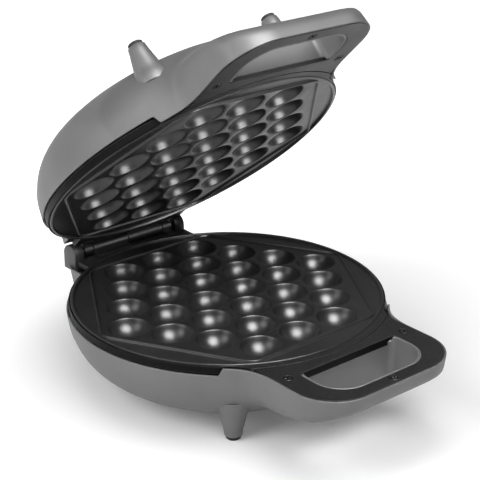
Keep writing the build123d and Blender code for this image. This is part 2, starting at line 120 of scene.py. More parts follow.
def noise(tree, vector, scale, detail=3.0, roughness=0.5):
    node = addNode(tree, "ShaderNodeTexNoise")
    tree.links.new(vector, node.inputs["Vector"])
    if isinstance(scale, (int, float)):
        node.inputs["Scale"].default_value = scale
    else:
        tree.links.new(scale, node.inputs["Scale"])
    node.inputs["Detail"].default_value = detail
    node.inputs["Roughness"].default_value = roughness
    return node.outputs["Fac"]


# Shared effects, as groups that put out masks, heights and normals
bevelSamples = 4


def buildMouldGrain():
    # Fine spark-eroded texture with slow flow marks
    group, given, made = newGroup(
        "mouldGrain",
        [("Scale", "NodeSocketFloat", 2600.0), ("Depth", "NodeSocketFloat", 0.00002),
         ("Edge Radius", "NodeSocketFloat", 0.0006)],
        [("Normal", "NodeSocketVector"), ("Grain", "NodeSocketFloat"), ("Flow", "NodeSocketFloat")])
    where = addNode(group, "ShaderNodeTexCoord").outputs["Object"]
    fine = noise(group, where, scale=given.outputs["Scale"], detail=2.0, roughness=0.6)
    flow = noise(group, where, scale=18.0, detail=3.0, roughness=0.55)
    rounded = addNode(group, "ShaderNodeBevel", samples=bevelSamples)
    group.links.new(given.outputs["Edge Radius"], rounded.inputs["Radius"])
    bump = addNode(group, "ShaderNodeBump")
    bump.inputs["Strength"].default_value = 1.0
    group.links.new(given.outputs["Depth"], bump.inputs["Distance"])
    group.links.new(fine, bump.inputs["Height"])
    group.links.new(rounded.outputs["Normal"], bump.inputs["Normal"])
    group.links.new(bump.outputs["Normal"], made.inputs["Normal"])
    group.links.new(fine, made.inputs["Grain"])
    group.links.new(flow, made.inputs["Flow"])
    return group


def buildEdgeWear():
    # Where the rounded normal leaves the face's own one, broken up by noise
    group, given, made = newGroup(
        "edgeWear",
        [("Radius", "NodeSocketFloat", 0.0008), ("Amount", "NodeSocketFloat", 0.5)],
        [("Mask", "NodeSocketFloat")])
    where = addNode(group, "ShaderNodeTexCoord").outputs["Object"]
    rounded = addNode(group, "ShaderNodeBevel", samples=bevelSamples)
    group.links.new(given.outputs["Radius"], rounded.inputs["Radius"])
    face = addNode(group, "ShaderNodeNewGeometry")
    dot = addNode(group, "ShaderNodeVectorMath", operation="DOT_PRODUCT")
    group.links.new(rounded.outputs["Normal"], dot.inputs[0])
    group.links.new(face.outputs["Normal"], dot.inputs[1])
    edge = ranged(group, dot.outputs["Value"], low=0.99, high=0.86)
    patches = noise(group, where, scale=260.0, detail=4.0, roughness=0.6)
    broken = ranged(group, patches, low=0.35, high=0.65)
    mask = mathNode(group, "MULTIPLY", edge, broken)
    mask = mathNode(group, "MULTIPLY", mask, given.outputs["Amount"], clamp=True)
    group.links.new(mask, made.inputs["Mask"])
    return group


def buildSurfaceSoil():
    # Light dust on faces that look up and slow smudges everywhere
    group, given, made = newGroup(
        "surfaceSoil",
        [("Dust", "NodeSocketFloat", 0.1), ("Smudge Scale", "NodeSocketFloat", 30.0)],
        [("Dust", "NodeSocketFloat"), ("Smudge", "NodeSocketFloat")])
    where = addNode(group, "ShaderNodeTexCoord").outputs["Object"]
    face = addNode(group, "ShaderNodeNewGeometry")
    axes = addNode(group, "ShaderNodeSeparateXYZ")
    group.links.new(face.outputs["Normal"], axes.inputs[0])
    up = ranged(group, axes.outputs["Z"], low=0.55, high=1.0)
    specks = noise(group, where, scale=900.0, detail=2.0, roughness=0.7)
    speckled = mathNode(group, "MULTIPLY", up, ranged(group, specks, low=0.5, high=0.75))
    dust = mathNode(group, "MULTIPLY", speckled, given.outputs["Dust"])
    group.links.new(dust, made.inputs["Dust"])
    clouds = noise(group, where, scale=given.outputs["Smudge Scale"], detail=5.0, roughness=0.65)
    group.links.new(ranged(group, clouds, low=0.3, high=0.7), made.inputs["Smudge"])
    return group


grainGroup = buildMouldGrain()
wearGroup = buildEdgeWear()
soilGroup = buildSurfaceSoil()


def useGroup(tree, group, **values):
    node = addNode(tree, "ShaderNodeGroup", node_tree=group)
    for key, value in values.items():
        node.inputs[key.replace("_", " ")].default_value = value
    return node


def newMaterial(name):
    material = bpy.data.materials.new(name)
    material.use_nodes = True
    tree = material.node_tree
    return material, tree, tree.nodes["Principled BSDF"]


def mixColour(tree, factor, first, second):
    # A mix node's colour sockets share their labels with its other ones, so they go by number
    node = addNode(tree, "ShaderNodeMix", data_type="RGBA")
    firstColour, secondColour, mixed = node.inputs[6], node.inputs[7], node.outputs[2]
    tree.links.new(factor, node.inputs["Factor"])
    for socket, value in ((firstColour, first), (secondColour, second)):
        if isinstance(value, (tuple, list)):
            socket.default_value = (*value, 1.0)
        else:
            tree.links.new(value, socket)
    return mixed


wearReach = 1.2


def mouldedMaterial(name, look):
    material, tree, surface = newMaterial(name)
    grain = useGroup(tree, grainGroup, Scale=look["grainScale"], Depth=look["grainDepth"],
                     Edge_Radius=look["edgeRadius"])
    wear = useGroup(tree, wearGroup, Radius=look["edgeRadius"] * wearReach, Amount=look["wear"])
    soil = useGroup(tree, soilGroup, Dust=look["dust"], Smudge_Scale=look["smudgeScale"])
    flow = ranged(tree, grain.outputs["Flow"], low=0.35, high=0.65)
    flowColour = mixColour(tree, flow, look["dark"], look["light"])
    worn = mixColour(tree, wear.outputs["Mask"], flowColour, look["worn"])
    dusty = mixColour(tree, soil.outputs["Dust"], worn, look["dustColour"])
    tree.links.new(dusty, surface.inputs["Base Color"])
    middle, spread = look["roughness"], look["roughnessSpread"]
    rough = ranged(tree, soil.outputs["Smudge"], low=0.0, high=1.0, toLow=middle - spread,
                   toHigh=middle + spread)
    tree.links.new(rough, surface.inputs["Roughness"])
    surface.inputs["Metallic"].default_value = look["metallic"]
    surface.inputs["Specular IOR Level"].default_value = look["specular"]
    tree.links.new(grain.outputs["Normal"], surface.inputs["Normal"])
    return material


def grey(level):
    return (level, level, level)


shellLook = {
    "grainScale": 2600.0, "grainDepth": 0.00003, "edgeRadius": 0.0007, "wear": 0.35,
    "dust": 0.05, "smudgeScale": 26.0, "dark": (0.125, 0.125, 0.127),
    "light": (0.148, 0.148, 0.150), "worn": grey(0.42), "dustColour": grey(0.3),
    "roughness": 0.52, "roughnessSpread": 0.05, "metallic": 0.2, "specular": 0.5,
}
# A darker copy of the shell colour: painted shade for the left hinge cheek
cheekShadeLook = {**shellLook, "dark": (0.045, 0.045, 0.046), "light": (0.06, 0.06, 0.061)}
trimLook = {
    "grainScale": 3200.0, "grainDepth": 0.00004, "edgeRadius": 0.0004, "wear": 0.5,
    "dust": 0.10, "smudgeScale": 34.0, "dark": grey(0.008), "light": grey(0.013),
    "worn": grey(0.12), "dustColour": grey(0.2), "roughness": 0.44, "roughnessSpread": 0.07,
    "metallic": 0.0, "specular": 0.28,
}
# A darker, duller copy of the trim: painted shade for the frame band and the grip hem, which sit in
# shadow
trimShadeLook = {**trimLook, "dark": grey(0.003), "light": grey(0.005), "specular": 0.06, "wear": 0.2}
coatLook = {
    "grainScale": 1500.0, "grainDepth": 0.00002, "edgeRadius": 0.0006, "wear": 0.12,
    "dust": 0.04, "smudgeScale": 60.0, "dark": grey(0.014), "light": grey(0.022),
    "worn": grey(0.14), "dustColour": grey(0.2), "roughness": 0.34, "roughnessSpread": 0.04,
    "metallic": 0.0, "specular": 0.45,
}
rubberLook = {
    "grainScale": 1800.0, "grainDepth": 0.00005, "edgeRadius": 0.0003, "wear": 0.4,
    "dust": 0.25, "smudgeScale": 90.0, "dark": grey(0.018), "light": grey(0.028),
    "worn": grey(0.09), "dustColour": grey(0.3), "roughness": 0.78, "roughnessSpread": 0.08,
    "metallic": 0.0, "specular": 0.3,
}
glandLook = {**rubberLook, "dust": 0.1}
leadLook = {**rubberLook, "dark": (0.5, 0.48, 0.42), "light": (0.6, 0.58, 0.5)}
ceramicLook = {
    "grainScale": 1200.0, "grainDepth": 0.00003, "edgeRadius": 0.0003, "wear": 0.2,
    "dust": 0.15, "smudgeScale": 70.0, "dark": (0.60, 0.57, 0.50), "light": (0.70, 0.67, 0.60),
    "worn": (0.75, 0.73, 0.68), "dustColour": (0.4, 0.38, 0.35), "roughness": 0.55,
    "roughnessSpread": 0.08, "metallic": 0.0, "specular": 0.4,
}
steelLook = {
    "grainScale": 700.0, "grainDepth": 0.00001, "edgeRadius": 0.0002, "wear": 0.5,
    "dust": 0.05, "smudgeScale": 120.0, "dark": grey(0.42), "light": grey(0.55),
    "worn": grey(0.75), "dustColour": grey(0.3), "roughness": 0.34, "roughnessSpread": 0.10,
    "metallic": 1.0, "specular": 0.5,
}
darkSteelLook = {**steelLook, "dark": grey(0.03), "light": grey(0.05), "worn": grey(0.3),
                 "roughness": 0.38}
heaterLook = {**steelLook, "dark": (0.10, 0.09, 0.08), "light": (0.20, 0.18, 0.16),
              "roughness": 0.5}
sheetLook = {**steelLook, "dark": grey(0.60), "light": grey(0.72), "roughness": 0.28}

materials = {
    "shell": mouldedMaterial("satinShell", shellLook),
    "frame": mouldedMaterial("blackTrim", trimLook),
    "hem": mouldedMaterial("shadedTrim", trimShadeLook),
    "cheek": mouldedMaterial("hingeCheek", cheekShadeLook),
    "plate": mouldedMaterial("releaseCoating", coatLook),
    "pads": mouldedMaterial("footRubber", rubberLook),
    "gland": mouldedMaterial("glandRubber", glandLook),
    "ceramic": mouldedMaterial("ceramicBody", ceramicLook),
    "steel": mouldedMaterial("platedSteel", steelLook),
    "darkSteel": mouldedMaterial("blackenedSteel", darkSteelLook),
    "heater": mouldedMaterial("heaterSheath", heaterLook),
    "sheet": mouldedMaterial("brightSheet", sheetLook),
    "lead": mouldedMaterial("siliconeLead", leadLook),
}
print("materials:", len(materials))

nodeFinish = {
    "shell": "shell", "frame": "frame", "plate": "plate", "foot_pads": "pads",
    "cord_gland": "gland", "thermostat": "ceramic", "terminal_block": "ceramic",
    "thermal_fuse": "steel", "hinge_pin": "steel", "plate_screws": "steel",
    "shell_screws": "steel", "trim_screws": "darkSteel", "heater_clamps": "steel",
    "heater": "heater", "reflector": "sheet", "wiring": "lead",
}
for name, node in nodes.items():
    kind = name.replace("lower_", "").replace("upper_", "")
    node.data.materials.clear()
    node.data.materials.append(materials[nodeFinish[kind]])
print("CAD nodes painted")


# Mesh helpers: a loop is a list of vertices, and two loops of one length are joined by quads
def addLoop(mesh, points):
    return [mesh.verts.new(p) for p in points]


def joinLoops(mesh, first, second):
    count = len(first)
    for k in range(count):
        after = (k + 1) % count
        mesh.faces.new((first[k], first[after], second[after], second[k]))


def closeFlat(mesh, loops):
    edges = []
    for loop in loops:
        for before, after in zip(loop[-1:] + loop[:-1], loop):
            edges.append(mesh.edges.get((before, after)) or mesh.edges.new((before, after)))
    bmesh.ops.triangle_fill(mesh, use_beauty=True, use_dissolve=False, edges=edges,
                            normal=(0, 0, 1))


def ringPoints(radius, height, count, centre=(0.0, 0.0)):
    points = []
    for k in range(count):
        angle = 2 * math.pi * k / count
        points.append(Vector((centre[0] + radius * math.cos(angle),
                              centre[1] + radius * math.sin(angle), height)))
    return points


def hexPoints(inradius, corner, height, steps=7):
    # Rounded hexagon with a corner on +X, the same number of points for any size
    points = []
    sixth = math.pi / 3
    reach = (inradius - corner) / math.cos(math.pi / 6)
    for side in range(6):
        turn = sixth * side
        centre = Vector((reach * math.cos(turn), reach * math.sin(turn), height))
        for k in range(steps):
            angle = turn - math.pi / 6 + sixth * k / (steps - 1)
            points.append(centre + Vector((corner * math.cos(angle), corner * math.sin(angle), 0)))
    return points


def finishMesh(name, mesh, material, place, smoothAngle=40):
    bmesh.ops.recalc_face_normals(mesh, faces=mesh.faces)
    data = bpy.data.meshes.new(name)
    mesh.to_mesh(data)
    mesh.free()
    data.transform(place)
    data.materials.append(material)
    data.shade_smooth()
    piece = bpy.data.objects.new(name, data)
    bpy.context.scene.collection.objects.link(piece)
    data.set_sharp_from_angle(angle=math.radians(smoothAngle))
    return piece


# Baking plates, in metres
castPlate = {
    "pitRows": (3, 4, 5, 6, 5, 4, 3), "pitPitch": 0.028, "rowPitch": 0.0212, "pitRadius": 0.0117,
    "pitDepth": 0.009, "lip": 0.0007, "lipSteps": 3, "lipOverlap": 6, "pitSteps": 14,
    "pitSides": 48, "radius": 0.091, "edge": 0.0032, "edgeRound": 0.0009, "edgeChamfer": 0.3,
    "edgeReturn": 0.004, "rimWidth": 0.0022, "rimSteps": ((0.0002, -0.0004), (0.0005, 0.0)),
    "rimSides": 180, "poolDepth": 0.0012, "poolInradius": 0.0760, "ribWidth": 0.0018,
    "ribSteps": (0.0003, 0.0004, 0.0007), "corner": 0.009, "cornerGrowth": 0.5,
    "segmentDepth": 0.0014,
}


def pitProfile(shape):
    # Radius and depth below the web, from the rounded lip down to the cup's middle
    ball = (shape["pitRadius"] ** 2 + shape["pitDepth"] ** 2) / (2 * shape["pitDepth"])
    wide = math.acos((ball - shape["pitDepth"]) / ball)
    lip = shape["lip"]
    profile = []
    for k in range(shape["lipSteps"] + 1):
        angle = wide * k / shape["lipSteps"]
        profile.append((shape["pitRadius"] + lip - lip * math.sin(angle),
                        -lip * (1 - math.cos(angle))))
    start = math.radians(shape["lipOverlap"])
    for k in range(shape["pitSteps"]):
        angle = (wide - start) * (1 - k / shape["pitSteps"])
        profile.append((ball * math.sin(angle),
                        (ball - shape["pitDepth"]) - ball * math.cos(angle)))
    return profile


def castingMesh(shape):
    mesh = bmesh.new()
    web, segment = -shape["poolDepth"], -shape["segmentDepth"]
    holes = []
    profile = pitProfile(shape)
    for row, count in enumerate(shape["pitRows"]):
        y = (len(shape["pitRows"]) // 2 - row) * shape["rowPitch"]
        for k in range(count):
            centre = ((k - (count - 1) / 2) * shape["pitPitch"], y)
            above = None
            for radius, depth in profile:
                loop = addLoop(mesh, ringPoints(radius, web + depth, shape["pitSides"], centre))
                if above:
                    joinLoops(mesh, above, loop)
                else:
                    holes.append(loop)
                above = loop
            mesh.faces.new(above)
    inner, width, corner = shape["poolInradius"], shape["ribWidth"], shape["corner"]
    low, side, top = shape["ribSteps"]
    rib = [(0.0, web), (low, web + low), (side, -low), (top, 0.0), (width - top, 0.0),
           (width - side, -low), (width - low, segment + low), (width, segment)]
    loops = [addLoop(mesh, hexPoints(inner + out, corner + out * shape["cornerGrowth"], height))
             for out, height in rib]
    for first, second in zip(loops[:-1], loops[1:]):
        joinLoops(mesh, first, second)
    closeFlat(mesh, [loops[0]] + holes)
    rim = shape["radius"] - shape["rimWidth"]
    edge, rounding = shape["radius"], shape["edgeRound"]
    chamfer = rounding * shape["edgeChamfer"]
    rimLine = [(rim, segment)] + [(rim + out, height) for out, height in shape["rimSteps"]]
    rimLine += [(edge - rounding, 0.0), (edge - chamfer, -chamfer), (edge, -rounding),
                (edge, -shape["edge"]), (edge - shape["edgeReturn"], -shape["edge"])]
    rings = [addLoop(mesh, ringPoints(radius, height, shape["rimSides"]))
             for radius, height in rimLine]
    for first, second in zip(rings[:-1], rings[1:]):
        joinLoops(mesh, first, second)
    closeFlat(mesh, [loops[-1], rings[0]])
    return mesh


for half, place, body in halves:
    casting = finishMesh(half + "PlateCasting", castingMesh(castPlate), materials["plate"], place)
    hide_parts(half + "_plate")
    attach(casting, body)
print("plates cast")

# Shells, in millimetres round the plate's centre, with the handle towards -Y
shellShape = {
    "radius": 93.2, "bowlCorner": 35.9, "bowlDepth": 43.1, "bowlInset": 0.7, "bowlFlare": 0.07,
    "flareHeight": 10, "handleFront": 141.0, "handleHalf": 50.0, "corner": 26.0, "waist": 38.0,
    "draft": 7.0, "tipDepth": 10.0, "rootY": 96.0, "rootDepth": 29.0, "rootFloor": -36.5,
    "floorSlope": 0.06, "floorY": 70.0, "flankTop": (62.0, 10.0), "flankBelly": (22.0, 43.0),
    "tailHalf": 46.0, "tailBack": 111.0, "tailFoot": (72.0, 50.0), "tailShoulder": 98.0,
    "tailCorner": 8.0, "tailDepth": 24.0, "tailDraft": 12.0, "frontWedge": 41.5,
    "frontDrop": 0.9, "sideDrop": 5.9, "rampWidth": 1.9, "rampSteps": 12, "tailStops": 185.0,
    "turns": 460, "rows": 40, "rowSpread": 1.7, "wall": 2.4, "wallStretch": 1.15,
    "rimWidth": 1.1, "lipDepth": 2.5, "innerFrom": 12, "innerGap": 0.4, "lidTail": 97.5,
    "earGap": 7.5, "pin": (102.0, 0.5), "rimSpan": (20.0, 170.0), "skinSpan": (5.0, 180.0),
    "underSpan": (-1.5, -60.0),
}
# Widths over which forms blend, how much their sides lean, and where they begin
shellBlend = {
    "handleEdge": 5.0, "handleFloor": 12.0, "flank": 12.0, "handle": 6.0, "tailEdge": 5.0,
    "tail": 4.0, "handleLean": 0.97, "tailLean": 0.95, "handleFrom": -50, "tailFrom": 40,
}
halvings = 44
farAway, wellOutside, nearZero = 1e9, 1e3, 1e-6


def rayToArc(way, centre, radius, far):
    # Distance along a ray from the origin to a circle
    along = way[0] * centre[0] + way[1] * centre[1]
    inside = along * along - centre[0] ** 2 - centre[1] ** 2 + radius * radius
    root = math.sqrt(max(inside, 0.0))
    return along + root if far else along - root


def outlineReach(shape, angle):
    # Outline from above: front edge, corner, side, waist, bowl, tail side, tail corner and back
    s = shape
    x, y = abs(math.sin(angle)), -math.cos(angle)
    way = (x, y)
    cornerCentre = (s["handleHalf"] - s["corner"], -(s["handleFront"] - s["corner"]))
    waistX = s["handleHalf"] + s["waist"]
    waistY = -math.sqrt((s["radius"] + s["waist"]) ** 2 - waistX ** 2)
    off = math.atan2(x, -y)
    if off < math.atan2(cornerCentre[0], s["handleFront"]):
        return s["handleFront"] / -y
    if off < math.atan2(s["handleHalf"], -cornerCentre[1]):
        return rayToArc(way, cornerCentre, s["corner"], True)
    if off < math.atan2(s["handleHalf"], -waistY):
        return s["handleHalf"] / x
    if off < math.atan2(waistX, -waistY):
        return rayToArc(way, (waistX, waistY), s["waist"], False)
    if y <= 0:
        return s["radius"]
    # The tail's slanted side runs from the bowl to its corner
    low, high = Vector(s["tailFoot"]), Vector((s["tailHalf"], s["tailShoulder"]))
    along = (high - low).normalized()
    normal = Vector((along.y, -along.x))
    facing = normal.x * x + normal.y * y
    slanted = normal.dot(low) / facing if facing > 0 else farAway
    upright = s["tailHalf"] / x if x > nearZero else farAway
    tail = min(slanted, upright, s["tailBack"] / y)
    centre = (s["tailHalf"] - s["tailCorner"], s["tailBack"] - s["tailCorner"])
    first, last = math.atan2(centre[0], s["tailBack"]), math.atan2(s["tailHalf"], centre[1])
    if first < math.atan2(x, y) < last:
        tail = min(tail, rayToArc(way, centre, s["tailCorner"], True))
    return max(s["radius"], tail)


def softMax(a, b, width):
    blend = np.maximum(width - np.abs(a - b), 0.0) / width
    return np.maximum(a, b) + blend * blend * width * 0.25


def softMin(a, b, width):
    return -softMax(-a, -b, width)


def shellField(shape, reach, x, y, z, tailBack):
    # Negative inside; reach is the outline's distance in the point's direction
    s, blend = shape, shellBlend
    r = np.hypot(x, y)
    middle = s["radius"] - s["bowlInset"] - s["bowlCorner"]
    low = np.maximum(-(s["bowlDepth"] - s["bowlCorner"]) - z, 0.0)
    flare = s["bowlFlare"] * np.clip(z + s["flareHeight"], 0, s["flareHeight"])
    bowl = np.hypot(np.maximum(r - middle, 0.0), low) - s["bowlCorner"] - flare
    side = (r - reach) * blend["handleLean"] - z * math.tan(math.radians(s["draft"]))
    slope = (s["rootDepth"] - s["tipDepth"]) / (s["handleFront"] - s["rootY"])
    under = softMax(-s["tipDepth"] - slope * (y + s["handleFront"]),
                    s["rootFloor"] - s["floorSlope"] * (y + s["floorY"]), blend["handleFloor"]) - z
    under = under / math.hypot(1.0, slope)
    (topX, topZ), (bellyX, bellyZ) = s["flankTop"], s["flankBelly"]
    tilt = math.atan2(topX - bellyX, bellyZ - topZ)
    flank = math.cos(tilt) * (np.abs(x) - topX) - math.sin(tilt) * (z + topZ)
    handle = softMax(softMax(side, under, blend["handleEdge"]), flank, blend["flank"])
    handle = np.where(y < blend["handleFrom"], handle, wellOutside)
    tailSide = (r - reach) * blend["tailLean"] - z * math.tan(math.radians(s["tailDraft"]))
    tail = softMax(tailSide, -z - s["tailDepth"], blend["tailEdge"])
    tail = np.where(y > blend["tailFrom"], tail, wellOutside)
    field = softMin(bowl, handle, blend["handle"])
    field = softMin(field, tail, blend["tail"])
    if tailBack < s["tailBack"]:
        # The lid stops short of the pin and leaves room round it
        pinY, pinZ = s["pin"]
        field = np.maximum(field, s["earGap"] - np.hypot(y - pinY, z - pinZ))
        field = np.maximum(field, y - tailBack)
    return field


def skinAlong(isInside, count, span):
    # Halves the span from a place inside to one outside until it closes on the skin
    inner, outer = (np.full(count, place) for place in span)
    for step in range(halvings):
        middle = (inner + outer) / 2
        inside = isInside(middle)
        inner, outer = np.where(inside, middle, inner), np.where(inside, outer, middle)
    return (inner + outer) / 2


def rimHeight(shape, degrees):
    # degrees from the handle's middle; past a slanted step the rim stays low all round the back
    off = abs((degrees + 180) % 360 - 180)
    t = min(max(0.5 + (shape["frontWedge"] - off) / shape["rampWidth"], 0.0), 1.0)
    ease = t * t * (3 - 2 * t)
    return -shape["sideDrop"] + (shape["sideDrop"] - shape["frontDrop"]) * ease


def shellSkin(shape, tailBack):
    # Columns round the shell, closer together at the rim's steps and on the tail
    s = shape
    stops = [360 * k / s["turns"] for k in range(s["turns"])]
    for edge in (s["frontWedge"], s["tailStops"]):
        for sign in (1, -1):
            stops += [(sign * (edge + s["rampWidth"] * (k / s["rampSteps"] - 0.5))) % 360
                      for k in range(s["rampSteps"] + 1)]
    stops = sorted(stops)
    count = len(stops)
    angles = np.radians(np.array(stops))
    reach = np.array([outlineReach(s, a) for a in angles])
    rim = np.array([rimHeight(s, d) for d in stops])
    across = np.stack([np.sin(angles), -np.cos(angles)])

    def insideRim(far):
        return shellField(s, reach, across[0] * far, across[1] * far, rim, tailBack) < 0

    edge = skinAlong(insideRim, count, s["rimSpan"])
    start = np.arctan2(-rim, edge)
    rows = [np.stack([across[0] * edge, across[1] * edge, rim], axis=1)]
    for row in range(1, s["rows"]):
        dip = start + (math.pi / 2 - start) * (row / s["rows"]) ** s["rowSpread"]

        def insideRow(far):
            flat, drop = far * np.cos(dip), -far * np.sin(dip)
            return shellField(s, reach, across[0] * flat, across[1] * flat, drop, tailBack) < 0

        far = skinAlong(insideRow, count, s["skinSpan"])
        rows.append(np.stack([across[0] * far * np.cos(dip), across[1] * far * np.cos(dip),
                              -far * np.sin(dip)], axis=1))
    return rows


def shellMesh(shape, tailBack):
    s = shape
    rows = shellSkin(s, tailBack)
    mesh = bmesh.new()
    outer = [addLoop(mesh, [Vector(p) for p in row]) for row in rows]
    for first, second in zip(outer[:-1], outer[1:]):
        joinLoops(mesh, first, second)
    mesh.faces.new(outer[-1])
    # Inner skin, one wall in, with a narrow rim joining the two
    along = np.roll(rows[0], -1, axis=0) - np.roll(rows[0], 1, axis=0)
    along[:, 2] = 0
    along /= np.linalg.norm(along, axis=1, keepdims=True)
    inward = np.stack([-along[:, 1], along[:, 0], along[:, 2]], axis=1)
    lip = rows[0] + inward * s["rimWidth"]
    step = lip + np.array([0, 0, -s["lipDepth"]])
    ledge = addLoop(mesh, [Vector(p) for p in lip])
    joinLoops(mesh, ledge, outer[0])
    above = addLoop(mesh, [Vector(p) for p in step])
    joinLoops(mesh, above, ledge)
    for row in rows[s["innerFrom"]:]:
        lengths = np.linalg.norm(row, axis=1, keepdims=True)
        inner = row * (1 - s["wall"] * s["wallStretch"] / lengths)
        inner[:, 2] = np.minimum(inner[:, 2], step[:, 2] - s["innerGap"])
        loop = addLoop(mesh, [Vector(p) for p in inner])
        joinLoops(mesh, loop, above)
        above = loop
    mesh.faces.new(above)
    return mesh


def heightUnder(shape, points):
    # Where the skin lies straight below each point
    x, y = np.array([p[0] for p in points]), np.array([p[1] for p in points])
    reach = np.array([outlineReach(shape, math.atan2(a, -b)) for a, b in zip(x, y)])

    def insideUnder(z):
        return shellField(shape, reach, x, y, z, shape["tailBack"]) < 0

    return skinAlong(insideUnder, len(points), shape["underSpan"])


gripShape = {
    "back": 101.5, "front": 130.0, "half": 33.5, "backCorner": 4.0, "frontCorner": 16.0,
    "wall": 1.8, "top": -0.5, "trimmed": -2.65, "trimMargin": 1.0, "lipRound": 0.4,
    "sunk": 1.0, "proud": 0.1, "cutGrow": 0.9, "cut": (-50, 10),
}


def gripPoints(shape, grow, steps=10):
    # Finger opening seen from above, anticlockwise, with tighter corners on the plate's side
    front, back = (-shape["front"], shape["frontCorner"]), (-shape["back"], shape["backCorner"])
    corners = [(1, *front, -90), (1, *back, 0), (-1, *back, 90), (-1, *front, 180)]
    points = []
    for side, y, radius, first in corners:
        inset = radius if y == -shape["front"] else -radius
        middle = (side * (shape["half"] - radius), y + inset)
        for k in range(steps):
            angle = math.radians(first + 90 * k / (steps - 1))
            points.append((middle[0] + (radius + grow) * math.cos(angle),
                           middle[1] + (radius + grow) * math.sin(angle)))
    return points


def gripTube(shape, shell):
    # A thin wall round the opening, with its lip standing up through the trim on three sides
    mesh = bmesh.new()
    lip = shape["lipRound"]
    inner, outer = gripPoints(shape, 0.0), gripPoints(shape, shape["wall"])
    lowInner, lowOuter = heightUnder(shell, inner), heightUnder(shell, outer)

    def top(point, drop=0.0):
        raised = point[1] < -shape["back"] - shape["trimMargin"]
        return (shape["top"] if raised else shape["trimmed"]) - drop

    crest = [gripPoints(shape, grow) for grow in (shape["wall"] - lip, lip)]
    loops = [addLoop(mesh, [(x, y, z + shape["sunk"]) for (x, y), z in zip(outer, lowOuter)]),
             addLoop(mesh, [(x, y, top((x, y), lip)) for x, y in outer]),
             addLoop(mesh, [(x, y, top((x, y))) for x, y in crest[0]]),
             addLoop(mesh, [(x, y, top((x, y))) for x, y in crest[1]]),
             addLoop(mesh, [(x, y, top((x, y), lip)) for x, y in inner]),
             addLoop(mesh, [(x, y, z - shape["proud"]) for (x, y), z in zip(inner, lowInner)])]
    for first, second in zip(loops, loops[1:] + loops[:1]):
        joinLoops(mesh, first, second)
    return mesh


def prismMesh(points, low, high):
    mesh = bmesh.new()
    bottom = addLoop(mesh, [(x, y, low) for x, y in points])
    top = addLoop(mesh, [(x, y, high) for x, y in points])
    joinLoops(mesh, bottom, top)
    mesh.faces.new(bottom)
    mesh.faces.new(top)
    return mesh


def latheMesh(profile, count=40):
    # Turned about Z, with a flat face at each end
    mesh = bmesh.new()
    loops = [addLoop(mesh, ringPoints(radius, height, count)) for radius, height in profile]
    for first, second in zip(loops[:-1], loops[1:]):
        joinLoops(mesh, first, second)
    mesh.faces.new(loops[0])
    mesh.faces.new(loops[-1])
    return mesh


def cutBy(piece, cutter, smoothAngle=38):
    # The boolean is worked out once, and the cutter is taken away again
    modifier = piece.modifiers.new("cut", "BOOLEAN")
    modifier.operation = "DIFFERENCE"
    modifier.solver = "EXACT"
    modifier.object = cutter
    bpy.context.view_layer.update()
    ready = piece.evaluated_get(bpy.context.evaluated_depsgraph_get())
    data = bpy.data.meshes.new_from_object(ready)
    piece.modifiers.clear()
    piece.data = data
    bpy.data.objects.remove(cutter)
    data.shade_smooth()
    data.set_sharp_from_angle(angle=math.radians(smoothAngle))


def openAround(piece, spot, radius):
    # Leaves the wall open inside the cord gland's lip, which covers the ragged edge
    mesh = bmesh.new()
    mesh.from_mesh(piece.data)
    near = [face for face in mesh.faces
            if all((vert.co - spot).length < radius for vert in face.verts)]
    bmesh.ops.delete(mesh, geom=near, context="FACES")
    mesh.to_mesh(piece.data)
    mesh.free()


# Trim: a band at the frame's side, an apron by the barrels, a hem in the opening, the screws
band = {"sides": 240, "profile": ((90.6, -1.1), (91.7, -0.9), (92.05, -1.3), (92.05, -4.7),
                                  (91.7, -4.98), (90.6, -4.9))}
apron = {"half": 33.0, "wing": 41.0, "radius": 91.6, "step": 94.4, "back": 96.6, "low": -5.0,
         "top": -1.6, "arc": 16}
hem = {"half": 31.6, "edge": -101.55, "depth": 1.5, "slant": 1.0, "top": -1.0, "low": -5.0}
trimScrew = {
    "places": ((42.3, -101.3), (-42.3, -101.3), (0.0, -135.5)), "sides": 36, "turn": 0.5,
    "slotHalf": 0.5, "slotReach": 1.75, "slotLow": -1.35, "slotHigh": 1.0,
    "profile": ((1.25, -6.0), (1.3, -1.8), (2.45, -1.7), (2.5, -0.95), (2.2, -0.66),
                (1.2, -0.52)),
}


def bandMesh(shape):
    mesh = bmesh.new()
    rings = [addLoop(mesh, ringPoints(radius, height, shape["sides"]))
             for radius, height in shape["profile"]]
    for first, second in zip(rings, rings[1:] + rings[:1]):
        joinLoops(mesh, first, second)
    return mesh


def apronPoints(shape):
    # The front follows the frame's ring, and the back steps in beside the barrels
    across = [shape["wing"] * (2 * k / shape["arc"] - 1) for k in range(shape["arc"] + 1)]
    right = [(shape["wing"], shape["step"]), (shape["half"], shape["step"]),
             (shape["half"], shape["back"])]
    return ([(x, math.sqrt(shape["radius"] ** 2 - x * x)) for x in across] + right
            + [(-x, y) for x, y in reversed(right)])


def hemPoints(shape):
    half, edge = shape["half"], shape["edge"]
    shorter, deeper = half - shape["slant"], edge + shape["depth"]
    return [(-half, edge), (half, edge), (shorter, deeper), (-shorter, deeper)]


def slotPoints(shape, spot, turn):
    half, reach = shape["slotHalf"], shape["slotReach"]
    points = []
    for a, b in ((-reach, -half), (reach, -half), (reach, half), (-reach, half)):
        points.append((spot[0] + a * math.cos(turn) - b * math.sin(turn),
                       spot[1] + a * math.sin(turn) + b * math.cos(turn)))
    return points


